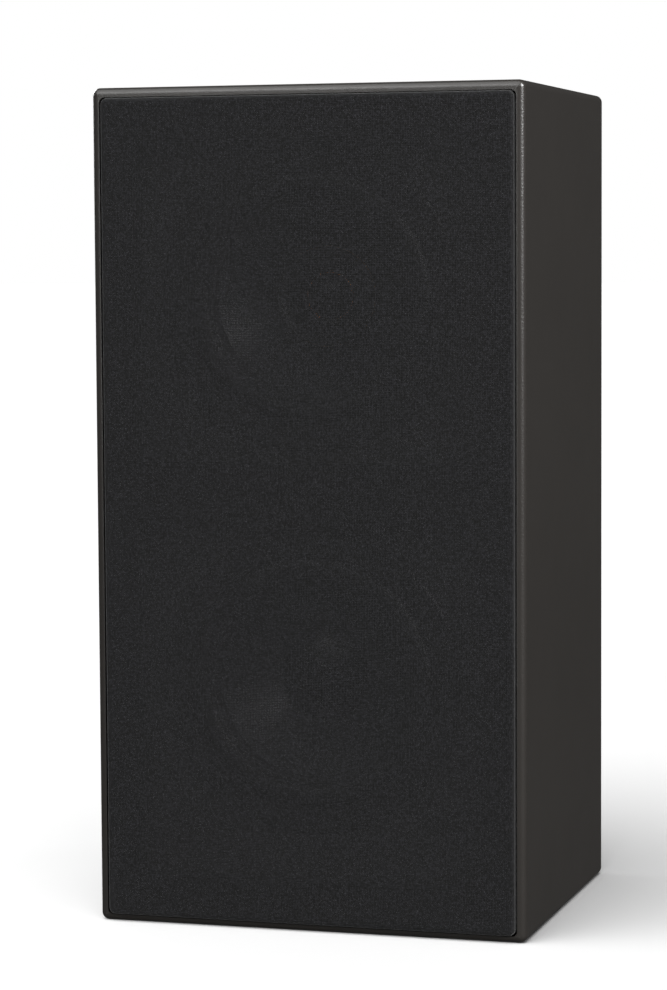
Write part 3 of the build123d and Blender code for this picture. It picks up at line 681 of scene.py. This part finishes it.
@dataclass
class Studio:
    """Camera, pale floor and soft lights.

    Args:
        eye: the camera's place, in metres.
        back: unit vector from the view's middle to the camera.
        roll: turn of the camera about its view, in degrees.
        lens: focal length, in mm.
        sensor: the sensor's long side, in mm.
        reach: half the floor's side, in metres.
        card: left, right, y and top of the black card, in metres.
        sun: strength of the overhead light.
        sun_spread: its apparent width, in degrees.
        sun_turn: its turn about X and Y, in degrees.
        fill: strength of the even light from all round.
        mirrored: strength of that light in reflections.
    """

    eye: tuple[float, float, float] = (0.49361585, -1.70732975, 0.36789025)
    back: tuple[float, float, float] = (0.28413179, -0.95562269, 0.07781008)
    roll: float = -0.3301
    lens: float = 114.869
    sensor: float = 36.0
    reach: float = 30.0
    card: tuple[float, float, float, float] = (0.24, 1.6, 0.55, 1.3)
    sun: float = 3.32
    sun_spread: float = 75.0
    sun_turn: tuple[float, float] = (34.0, -14.0)
    fill: float = 0.4
    mirrored: float = 0.05

    def build(self) -> None:
        """Makes the camera first, then the floor, the lights and the background."""
        self.make_camera()
        floor = self.make_floor()
        for lamp in LAMPS:
            self.make_light(lamp, floor)
        self.make_card()
        self.make_sun()
        self.make_world()
        scene = bpy.context.scene
        scene.view_settings.view_transform = "Standard"
        scene.view_settings.look = "None"

    def make_camera(self) -> None:
        """The camera, from its eye, view and roll."""
        back = Vector(self.back).normalized()
        right = (-back).cross(Vector((0, 0, 1))).normalized()
        up = right.cross(-back)
        angle = math.radians(self.roll)
        rolled = math.cos(angle) * right + math.sin(angle) * up
        upright = -math.sin(angle) * right + math.cos(angle) * up
        data = bpy.data.cameras.new("camera")
        data.lens = self.lens
        data.sensor_width = self.sensor
        matrix = Matrix((rolled, upright, back)).transposed().to_4x4()
        matrix.translation = Vector(self.eye)
        camera = linked("camera", data)
        camera.matrix_world = matrix
        bpy.context.scene.camera = camera

    def plate(self, name: str, corners: Iterable[tuple[float, float, float]], finish: Finish) -> Object:
        """A flat four-sided plate.

        Args:
            name: the plate's name.
            corners: its four corners, in metres.
            finish: its finish.

        Returns:
            The plate.
        """
        mesh = mesh_from(name, [Vector(c) for c in corners], [(0, 1, 2, 3)])
        mesh.materials.append(finish.build())
        made = linked(name, mesh)
        return made

    def make_floor(self) -> Object:
        """A wide plain floor that fades into the background and stays out of the reflections.

        Returns:
            The floor.
        """
        corners = [(x * self.reach, y * self.reach, 0.0) for x, y in ((-1, -1), (1, -1), (1, 1), (-1, 1))]
        paper = Finish("Paper sweep, matt", "#f4f4f4", "#f2f2f2", 0.9, 0.5, 0.01, 0.0, specular=0.1)
        floor = self.plate("floor", corners, paper)
        floor.visible_glossy = False
        return floor

    def make_card(self) -> None:
        """A black card, unseen itself, which shades the floor behind and keeps the side face dark."""
        left, right, y, top = self.card
        corners = [(left, y, 0.0), (right, y, 0.0), (right, y, top), (left, y, top)]
        black = Finish("Card, matt black", "#0a0a0a", "#0c0c0c", 0.95, 0.3, 0.01, 0.0)
        self.plate("card_behind_right", corners, black).visible_camera = False

    def make_light(self, lamp: Lamp, floor: Object) -> None:
        """Sets up a lamp that leaves the floor alone, so that the shadow there stays soft and grey.

        Args:
            lamp: the lamp.
            floor: the floor that it skips.
        """
        data = bpy.data.lights.new(lamp.name, "AREA")
        data.shape = "RECTANGLE"
        data.size, data.size_y = lamp.size
        data.energy = lamp.power
        light = linked(lamp.name, data)
        light.location = lamp.place
        light.rotation_mode = "QUATERNION"
        light.rotation_quaternion = (Vector(lamp.aim) - Vector(lamp.place)).to_track_quat("-Z", "Y")
        group = bpy.data.collections.new(f"{lamp.name}_skips")
        group.objects.link(floor)
        group.collection_objects[0].light_linking.link_state = "EXCLUDE"
        light.light_linking.receiver_collection = group

    def make_sun(self) -> None:
        """An even overhead light that keeps the whole floor pale."""
        data = bpy.data.lights.new("even_overhead", "SUN")
        data.energy = self.sun
        data.angle = math.radians(self.sun_spread)
        sun = linked("even_overhead", data)
        sun.rotation_euler = (math.radians(self.sun_turn[0]), math.radians(self.sun_turn[1]), 0)

    def make_world(self) -> None:
        """White behind the object, an even dimmer light from all round, and near dark in reflections."""
        world = bpy.data.worlds.new("studio")
        bpy.context.scene.world = world
        world.use_nodes = True
        tree = world.node_tree
        tree.nodes.clear()
        rays = add_node(tree, "ShaderNodeLightPath").outputs
        around = spread(tree, rays["Is Glossy Ray"], 0.0, 1.0, self.fill, self.mirrored)
        strength = calc(tree, "MAXIMUM", around, rays["Is Camera Ray"])
        sky = add_node(tree, "ShaderNodeBackground", {"Color": linear("#ffffff"), "Strength": strength})
        add_node(tree, "ShaderNodeOutputWorld", {"Surface": sky.outputs[0]})


# ---------------------------------------------------------------- cabinet and grille


class Assembly:
    """CAD parts that wear finishes; a subclass says which, and adds what it makes itself.

    Args:
        wear: the CAD nodes that each slot's finish goes on.
    """

    wear: ClassVar[dict[Slot, tuple[str, ...]]] = {}

    def build(self, paint: Paint) -> int:
        """Dresses the parts; returns the number of pieces."""
        return paint.dress(self.wear)


class Cabinet(Assembly):
    """The wrapped box: four mitred walls, baffle, rear panel, brace and lining."""

    wear = {
        Slot.CABINET: ("side_panel_left", "side_panel_right", "top_panel", "bottom_panel", "rear_panel"),
        Slot.BAFFLE: ("front_baffle",),
        Slot.RAW_BOARD: ("window_brace",),
    }

    def build(self, paint: Paint) -> int:
        """Dresses the panels and lays in the lining; returns the number of pieces."""
        return super().build(paint) + Wadding().build(paint)


@dataclass
class Wadding:
    """Fluffy lining pads on the walls, with loose fibres standing off their faces.

    Args:
        thickness: depth of each pad.
        length: front-to-back size.
        middle_y: y of the pads' middles.
        wall_x: distance of the side walls from the middle.
        ceiling_z: height of the top wall's inner face.
        top_width: width of the top pad.
        levels: bottom and top of the side pads, with their names.
        swell: how far the faces are pulled in by lumps.
        lumps: lumps per metre.
        rounding: how far edges and corners are drawn in, as a share.
        cuts: cuts across each face.
        fibres: fibres per square metre.
        fibre_length: length of a fibre.
        fibre_r: radius of a fibre.
        bow: how far a fibre rises in its middle, as a share of its length.
        lean: how far a fibre tilts off the face, in radians.
        first_seed: seed of the first pad's fibres; each further pad has the next.
    """

    thickness: float = 12 * MM
    length: float = 130 * MM
    middle_y: float = 12 * MM
    wall_x: float = 105 * MM
    ceiling_z: float = 440 * MM
    top_width: float = 180 * MM
    levels: tuple[tuple[int, int, str], ...] = ((62, 222, "low"), (256, 420, "high"))
    swell: float = 1.4 * MM
    lumps: float = 55.0
    rounding: float = 0.09
    cuts: int = 17
    fibres: float = 30000.0
    fibre_length: float = 5 * MM
    fibre_r: float = 0.06 * MM
    bow: float = 0.12
    lean: float = 0.3
    first_seed: int = 11

    def spots(self) -> list[tuple[str, Vector, Vector]]:
        """Where the pads lie.

        Returns:
            Each pad's name, middle and size.
        """
        found = []
        for side, label in ((-1, "left"), (1, "right")):
            middle_x = side * (self.wall_x - self.thickness / 2)
            for low, high, level in self.levels:
                middle = Vector((middle_x, self.middle_y, (low + high) / 2 * MM))
                size = Vector((self.thickness, self.length, (high - low) * MM))
                found.append((f"wadding_{label}_{level}", middle, size))
        top = Vector((0, self.middle_y, self.ceiling_z - self.thickness / 2))
        found.append(("wadding_top", top, Vector((self.top_width, self.length, self.thickness))))
        return found

    def pad(self, name: str, middle: Vector, size: Vector) -> Mesh:
        """A pad with soft edges and lumpy faces that stays inside its box.

        Args:
            name: the mesh's name.
            middle: the pad's middle.
            size: the pad's size.

        Returns:
            The closed mesh.
        """
        work = bmesh.new()
        bmesh.ops.create_cube(work, size=1.0)
        bmesh.ops.subdivide_edges(work, edges=work.edges[:], cuts=self.cuts, use_grid_fill=True)
        for vert in work.verts:
            share = vert.co * 2
            lengths = [abs(c) for c in share]
            pull = Vector([1 - self.rounding * (sum(lengths) - lengths[i]) ** 3 / 8 for i in range(3)])
            place = Vector([share[i] * pull[i] * size[i] / 2 for i in range(3)])
            lump = noise.noise((place + middle) * self.lumps)
            vert.co = middle + place - place.normalized() * self.swell * (0.5 + 0.5 * lump)
        bmesh.ops.recalc_face_normals(work, faces=work.faces[:])
        mesh = bpy.data.meshes.new(name)
        work.to_mesh(mesh)
        work.free()
        mesh.shade_smooth()
        return mesh

    def fibre_tree(self, material: Material) -> Tree:
        """Geometry nodes that scatter short bent fibres on a pad and keep the pad.

        Args:
            material: the fibres' material.

        Returns:
            The node tree, with the inputs Density, Length and Seed.
        """
        tree = bpy.data.node_groups.new("wadding_fibres", "GeometryNodeTree")
        face = tree.interface
        face.new_socket("Geometry", in_out="INPUT", socket_type="NodeSocketGeometry")
        for label, kind in (("Density", "Float"), ("Length", "Float"), ("Seed", "Int")):
            face.new_socket(label, in_out="INPUT", socket_type=f"NodeSocket{kind}")
        face.new_socket("Geometry", in_out="OUTPUT", socket_type="NodeSocketGeometry")
        given = add_node(tree, "NodeGroupInput").outputs
        values = {"Mesh": given["Geometry"], "Density": given["Density"], "Seed": given["Seed"]}
        points = add_node(tree, "GeometryNodeDistributePointsOnFaces", values)
        half = calc(tree, "MULTIPLY", given["Length"], 0.5)
        other = calc(tree, "MULTIPLY", half, -1.0)
        rise = calc(tree, "MULTIPLY", given["Length"], self.bow)
        ends = {
            "Start": add_node(tree, "ShaderNodeCombineXYZ", {0: other}).outputs[0],
            "Middle": add_node(tree, "ShaderNodeCombineXYZ", {2: rise}).outputs[0],
            "End": add_node(tree, "ShaderNodeCombineXYZ", {0: half}).outputs[0],
        }
        bow = add_node(tree, "GeometryNodeCurveQuadraticBezier", {"Resolution": 4, **ends})
        thread = add_node(tree, "GeometryNodeCurvePrimitiveCircle", {"Resolution": 3, "Radius": self.fibre_r})
        shape = {"Curve": bow.outputs[0], "Profile Curve": thread.outputs[0]}
        fibre = add_node(tree, "GeometryNodeCurveToMesh", shape)
        least, most = (-self.lean, -self.lean, 0.0), (self.lean, self.lean, math.tau)
        turn_range = {0: least, 1: most, "Seed": given["Seed"]}
        turn = add_node(tree, "FunctionNodeRandomValue", turn_range, data_type="FLOAT_VECTOR").outputs[0]
        tilt = add_node(tree, "FunctionNodeEulerToRotation", {0: turn}).outputs[0]
        laid = {"Rotation": points.outputs["Rotation"], "Rotate By": tilt}
        aim = add_node(tree, "FunctionNodeRotateRotation", laid, rotation_space="LOCAL").outputs[0]
        values = {"Points": points.outputs["Points"], "Instance": fibre.outputs[0], "Rotation": aim}
        strewn = add_node(tree, "GeometryNodeInstanceOnPoints", values)
        joined = add_node(tree, "GeometryNodeJoinGeometry")
        tree.links.new(given["Geometry"], joined.inputs[0])
        tree.links.new(strewn.outputs[0], joined.inputs[0])
        real = add_node(tree, "GeometryNodeRealizeInstances", {0: joined.outputs[0]})
        values = {"Geometry": real.outputs[0], "Material": material}
        finished = add_node(tree, "GeometryNodeSetMaterial", values)
        add_node(tree, "NodeGroupOutput", {0: finished.outputs[0]})
        return tree

    def build(self, paint: Paint) -> int:
        """Makes the pads with their fibres.

        Args:
            paint: the store of finishes.

        Returns:
            The number of pieces.
        """
        tree = self.fibre_tree(paint.material(FINISHES[Slot.WADDING]))
        for seed, (name, middle, size) in enumerate(self.spots(), start=self.first_seed):
            wanted = {"Density": self.fibres, "Length": self.fibre_length, "Seed": seed}
            pad = paint.piece(name, self.pad(name, middle, size), Slot.WADDING)
            modifier = pad.modifiers.new("fibres", "NODES")
            modifier.node_group = tree
            for item in tree.interface.items_tree:
                if item.in_out == "INPUT" and item.name in wanted:
                    modifier[item.identifier] = wanted[item.name]
            graph = bpy.context.evaluated_depsgraph_get()
            plain = bpy.data.meshes.new_from_object(pad.evaluated_get(graph))
            pad.modifiers.clear()
            pad.data = plain
            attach(pad, "enclosure")
            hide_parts("damping_wadding")
        return len(self.spots())


@dataclass
class GrilleCloth:
    """One sheet over the frame's front, round its edges and glued to its back.

    Args:
        half_w: half the covered width.
        low: lower edge.
        high: upper edge.
        front: y of the cloth's face.
        back: y of the hem.
        corner: radius of the corners seen from the front.
        edge: radius of the front edge.
        tuck: radius of the fold into the hem.
        hem: width of the hem on the back.
        least_r: least radius of a corner on the hem.
        margin: width of the finer band round the flat face.
        steps: steps round the edge, the fold, a corner and a side.
    """

    half_w: float = 114.25 * MM
    low: float = 4.1 * MM
    high: float = 449.3 * MM
    front: float = -101.1 * MM
    back: float = -89.46 * MM
    corner: float = 3.4 * MM
    edge: float = 1.9 * MM
    tuck: float = 0.35 * MM
    hem: float = 9.0 * MM
    least_r: float = 0.15 * MM
    margin: float = 2 * MM
    steps: tuple[int, int, int, int] = (6, 3, 6, 20)

    def section(self) -> list[tuple[float, float, float]]:
        """The wrap from the front face round to the hem.

        Returns:
            The inset from the outline, the y and the reach over the flat cloth at each row.
        """
        rows = [(self.edge + self.margin, self.front, -self.margin)]
        for k in range(self.steps[0] + 1):
            angle = math.pi / 2 * k / self.steps[0]
            inset, back = self.edge * (1 - math.sin(angle)), self.edge * (1 - math.cos(angle))
            rows.append((inset, self.front + back, self.edge * angle))
        straight = self.back - self.tuck - (self.front + self.edge)
        reach = rows[-1][2] + straight
        for k in range(self.steps[1] + 1):
            angle = math.pi / 2 * k / self.steps[1]
            inset, front = self.tuck * (1 - math.cos(angle)), self.tuck * (1 - math.sin(angle))
            rows.append((inset, self.back - front, reach + self.tuck * angle))
        rows.append((self.tuck + self.hem, self.back, rows[-1][2] + self.hem))
        return rows

    def flat(self) -> tuple[float, float, float]:
        """Measures the cut cloth, with its corners notched out.

        Returns:
            Width, length and area.
        """
        reach = self.section()[-1][2]
        width = 2 * (self.half_w - self.edge + reach)
        length = self.high - self.low - 2 * self.edge + 2 * reach
        return width, length, width * length - 4 * reach * reach

    def mesh(self) -> Mesh:
        """The sheet, with its flat place in the map called Weave.

        Returns:
            The mesh, one face deep.
        """
        half_h, middle_z = (self.high - self.low) / 2, (self.high + self.low) / 2
        edge, steps = self.edge, self.steps[2:]
        base = rounded_outline(self.half_w - edge, half_h - edge, self.corner - edge, *steps)
        count = len(base)
        points, flats = [], []
        for inset, y, reach in self.section():
            radius = max(self.corner - inset, self.least_r)
            ring = rounded_outline(self.half_w - inset, half_h - inset, radius, *steps)
            for (place, _), (origin, normal) in zip(ring, base):
                points.append(Vector((place.x, y, place.y + middle_z)))
                flats.append(origin + normal * reach)
        rows = len(self.section())
        faces = [tuple(range(count))]
        for row in range(rows - 1):
            first, second = row * count, (row + 1) * count
            for k in range(count):
                after = (k + 1) % count
                faces.append((first + after, first + k, second + k, second + after))
        mesh = mesh_from("grille_cloth_sheet", points, faces)
        mesh.polygons[0].use_smooth = False
        layer = mesh.uv_layers.new(name="Weave")
        for loop in mesh.loops:
            layer.data[loop.index].uv = flats[loop.vertex_index]
        return mesh

    def build(self, paint: Paint) -> int:
        """Args:
            paint: the store of finishes.

        Returns:
            The number of pieces.
        """
        cloth = paint.piece("grille_cloth_sheet", self.mesh(), Slot.CLOTH)
        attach(cloth, "grille")
        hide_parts("grille_cloth")
        return 1


class Grille(Assembly):
    """The pull-off grille: moulded frame, its magnets and the cloth."""

    wear = {Slot.PLASTIC: ("grille_frame",), Slot.NEODYMIUM: ("grille_magnets", "baffle_magnets")}

    def build(self, paint: Paint) -> int:
        """Dresses the frame and stretches the cloth; returns the number of pieces."""
        return super().build(paint) + GrilleCloth().build(paint)


# ---------------------------------------------------------------- drive units


@dataclass
class SoftRing:
    """A flexible ring between a fixed part and a moving one, made as runs that meet at crests and troughs.

    Args:
        name: name of the finished pieces.
        node: the CAD node that it stands for.
        slot: its finish.
        line: (radius, depth behind the baffle's face) from the fixed foot to the moving one, in metres.
        centre_z: height of the driver's axis.
        front_y: y of the baffle's face.
        moving: the body at its inner foot; not used.
        level: a change of depth too small to count as a turn, in metres.
    """

    name: str
    node: str
    slot: Slot
    line: list[tuple[float, float]]
    centre_z: float
    front_y: float
    moving: str
    level: float = 1e-7

    def runs(self) -> list[list[tuple[float, float]]]:
        """Cuts the line where its depth turns round.

        Returns:
            The runs, each sharing its end point with the next.
        """
        found, start, heading = [], 0, 0
        for k in range(1, len(self.line)):
            step = self.line[k][1] - self.line[k - 1][1]
            way = (step > self.level) - (step < -self.level)
            if way and heading and way != heading:
                found.append(self.line[start:k])
                start = k - 1
            heading = way or heading
        found.append(self.line[start:])
        return found

    def build(self, paint: Paint) -> int:
        """Makes each run as a turned piece and hides the CAD node.

        Args:
            paint: the store of finishes.

        Returns:
            The number of pieces.
        """
        runs = self.runs()
        for index, run in enumerate(runs):
            turned_line = [(r, self.front_y + d) for r, d in run]
            mesh = turned(self.name, turned_line, self.centre_z)
            piece = paint.piece(f"{self.name}_{index + 1:02d}", mesh, self.slot)
            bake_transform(piece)
            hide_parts(self.node)
        return len(runs)


@dataclass
class DriveUnit:
    """One cone driver: basket, motor, cone, surround and spider.

    Args:
        name: prefix of its CAD nodes.
        coil_r: radius of the voice coil former.
        roll_r: radius of the surround's crest.
        roll_half: half the roll's width.
        roll_rise: height of the roll.
        foot_depth: depth of the surround's feet behind the baffle's face.
        outer_foot: outer and inner reach of the outer foot, from the crest.
        inner_foot: (reach, depth) of the points on the cone's edge, from the crest.
        spider_depth: depth of the spider behind the baffle's face.
        spider_r: outer radius of the spider.
        ledge: width of the spider's flat outer rim.
        collar: width of its flat inner rim.
        glue: gap between the former and the spider's inner edge.
        waves: corrugations of the spider.
        wave_height: their height.
        steps: steps over the roll, and over each corrugation.
    """

    name: str
    coil_r: float
    roll_r: float = 62 * MM
    roll_half: float = 6 * MM
    roll_rise: float = 5.2 * MM
    foot_depth: float = 0.2 * MM
    outer_foot: tuple[float, float] = (9.7 * MM, 6.2 * MM)
    inner_foot: tuple[tuple[float, float], ...] = ((7.6 * MM, 0.62 * MM), (9.5 * MM, 1.0 * MM))
    spider_depth: float = 37.2 * MM
    spider_r: float = 49.5 * MM
    ledge: float = 5 * MM
    collar: float = 2 * MM
    glue: float = 0.5 * MM
    waves: int = 5
    wave_height: float = 1.6 * MM
    steps: tuple[int, int] = (28, 12)

    def surround_line(self) -> list[tuple[float, float]]:
        """Foot under the trim ring, half roll, and foot on the cone's edge.

        Returns:
            Points as (radius, depth).
        """
        line = [(self.roll_r + reach, self.foot_depth) for reach in self.outer_foot]
        for k in range(self.steps[0] + 1):
            angle = math.pi * k / self.steps[0]
            depth = self.foot_depth - self.roll_rise * math.sin(angle)
            line.append((self.roll_r + self.roll_half * math.cos(angle), depth))
        return line + [(self.roll_r - reach, depth) for reach, depth in self.inner_foot]

    def spider_line(self) -> list[tuple[float, float]]:
        """Rounded corrugations between the basket's ledge and the former.

        Returns:
            Points as (radius, depth).
        """
        inner = self.coil_r + self.glue
        outer = self.spider_r - self.ledge
        span, steps = outer - inner - self.collar, self.steps[1] * self.waves
        line = [(self.spider_r, self.spider_depth)]
        for k in range(steps + 1):
            lift = self.wave_height / 2 * (1 - math.cos(math.tau * self.waves * k / steps))
            line.append((outer - span * k / steps, self.spider_depth - lift))
        line.append((inner, self.spider_depth))
        return line

    def build(self, paint: Paint) -> int:
        """Dresses the driver and adds its soft rings.

        Args:
            paint: the store of finishes.

        Returns:
            The number of pieces.
        """
        name = self.name
        low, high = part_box(f"{name}_trim_ring")
        centre_z, front_y = (low.z + high.z) / 2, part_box("front_baffle")[0].y
        steel = replace(FINISHES[Slot.ZINC], name=f"Steel, turned and zinc plated, {name}", centre_z=centre_z)
        wear = {
            Slot.BASKET: (f"{name}_basket",),
            Slot.PLASTIC: (f"{name}_trim_ring",),
            Slot.CONE: (f"{name}_cone",),
            Slot.FORMER: (f"{name}_coil_former",),
            Slot.COPPER: (f"{name}_coil_winding",),
            Slot.FERRITE: (f"{name}_magnet",),
        }
        count = paint.dress(wear) + paint.nodes(steel, f"{name}_top_plate", f"{name}_yoke")
        rings = (
            ("surround", "_roll", Slot.RUBBER, self.surround_line()),
            ("spider", "_wave", Slot.SPIDER, self.spider_line()),
        )
        for part, ending, slot, line in rings:
            node = f"{name}_{part}"
            ring = SoftRing(node + ending, node, slot, line, centre_z, front_y, f"{name}_diaphragm")
            count += ring.build(paint)
        return count


@dataclass
class Tweeter(Assembly):
    """The dome tweeter inside the upper driver's coil.

    Args:
        foot_r: outer radius of the roll's foot in the cup.
        outer_r: radius where the roll starts.
        crest_r: radius of its crest.
        inner_r: radius where it meets the dome.
        seat: depth of the foot behind the baffle's face.
        crest: depth of the crest.
        drop: how far the roll falls from its crest to the dome.
        steps: steps on each side of the crest.
    """

    foot_r: float = 24.0 * MM
    outer_r: float = 16.9 * MM
    crest_r: float = 15.2 * MM
    inner_r: float = 13.3 * MM
    seat: float = 39.4 * MM
    crest: float = 37.8 * MM
    drop: float = 1.0 * MM
    steps: int = 6

    wear = {
        Slot.PLASTIC: ("tweeter_horn_ring",),
        Slot.SILK: ("tweeter_dome",),
        Slot.COPPER: ("tweeter_coil",),
        Slot.ZINC: ("tweeter_cup",),
        Slot.NEODYMIUM: ("tweeter_magnet",),
    }

    def dome_line(self) -> list[tuple[float, float]]:
        """Foot in the cup, low roll, and foot under the dome.

        Returns:
            Points as (radius, depth).
        """
        line = [(self.foot_r, self.seat), (self.outer_r, self.seat)]
        shares = [k / self.steps for k in range(1, self.steps + 1)]
        for share in shares:
            rise = (self.seat - self.crest) * math.sin(math.pi / 2 * share)
            line.append((self.outer_r + (self.crest_r - self.outer_r) * share, self.seat - rise))
        for share in shares:
            fall = self.drop * (1 - math.cos(math.pi / 2 * share))
            line.append((self.crest_r + (self.inner_r - self.crest_r) * share, self.crest + fall))
        return line

    def build(self, paint: Paint) -> int:
        """Dresses the tweeter and adds its soft roll.

        Args:
            paint: the store of finishes.

        Returns:
            The number of pieces.
        """
        low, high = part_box("coax_trim_ring")
        centre_z, front_y = (low.z + high.z) / 2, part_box("front_baffle")[0].y
        node, moving = "tweeter_dome_surround", "tweeter_diaphragm"
        roll = SoftRing("tweeter_roll", node, Slot.SILK, self.dome_line(), centre_z, front_y, moving)
        return super().build(paint) + roll.build(paint)


# ---------------------------------------------------------------- fittings


class Fixings(Assembly):
    """Driver gaskets, screws, terminal strips and the dust cap."""

    wear = {
        Slot.FOAM: ("driver_gaskets", "cup_gasket"),
        Slot.SCREW: ("driver_screws", "cup_screws"),
        Slot.TIN: ("driver_terminals",),
        Slot.CAP: ("woofer_dust_cap",),
    }


class RearFittings(Assembly):
    """The reflex port, the terminal cup and the binding posts."""

    wear = {
        Slot.PLASTIC: ("port_tube", "terminal_cup"),
        Slot.GOLD: ("post_studs", "clamp_washer_black", "clamp_washer_red", "post_inner_nuts"),
        Slot.BLACK: ("post_nut_black",),
        Slot.RED: ("post_nut_red",),
    }


class Crossover(Assembly):
    """The filter board with its parts and the wiring."""

    wear = {
        Slot.LAMINATE: ("crossover_board",),
        Slot.NYLON: ("board_spacers",),
        Slot.ZINC: ("board_screws",),
        Slot.FERRITE: ("choke_core",),
        Slot.COPPER: ("choke_windings",),
        Slot.FILM: ("crossover_capacitors",),
        Slot.CEMENT: ("crossover_resistors",),
        Slot.SHEATH: ("wiring_harness",),
    }


# ---------------------------------------------------------------- assembly


def main() -> None:
    """Builds the studio and every sub-assembly in order."""
    logging.basicConfig(level=logging.INFO, format="%(name)s: %(message)s")
    Studio().build()
    paint = Paint()
    assemblies = (
        ("cabinet", Cabinet()),
        ("grille", Grille()),
        ("woofer", DriveUnit("woofer", coil_r=19.5 * MM)),
        ("upper driver", DriveUnit("coax", coil_r=27.5 * MM)),
        ("tweeter", Tweeter()),
        ("fixings", Fixings()),
        ("rear fittings", RearFittings()),
        ("crossover", Crossover()),
    )
    for label, assembly in assemblies:
        LOG.info("%s: %d pieces", label, assembly.build(paint))


if __name__ == "__main__":
    main()
